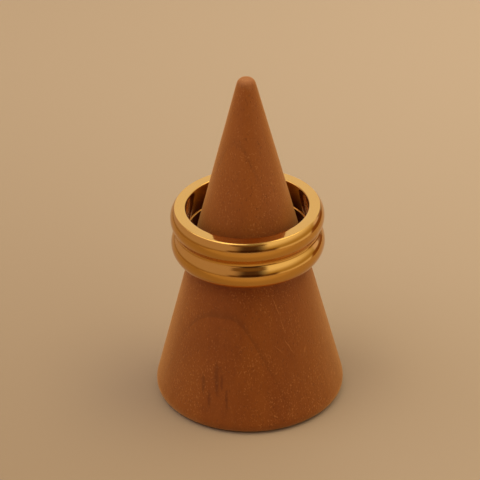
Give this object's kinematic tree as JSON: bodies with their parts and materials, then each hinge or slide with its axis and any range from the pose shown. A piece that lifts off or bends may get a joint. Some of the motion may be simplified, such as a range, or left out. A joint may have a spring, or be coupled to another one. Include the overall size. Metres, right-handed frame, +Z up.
{
  "type": "stackable ring on a cone ring stand",
  "caption": "Polished band ring, with two round ribs outside and a small round groove between them, resting on a plain turned wooden cone with a rounded tip and a flat foot.",
  "frame": {"origin": "centre of the stand's flat underside", "axes": "+Z up along the cone's axis to its tip, -Y towards the viewer of the picture, +X to the viewer's right"},
  "size_m": [0.0274, 0.0274, 0.0509],
  "materials": {
    "polished_gold": "polished yellow gold",
    "stained_wood": "reddish-brown stain, satin"
  },
  "bodies": {
    "root": {"double_rib_ring": "polished_gold", "cone_stand": "stained_wood"}
  },
  "joints": []
}
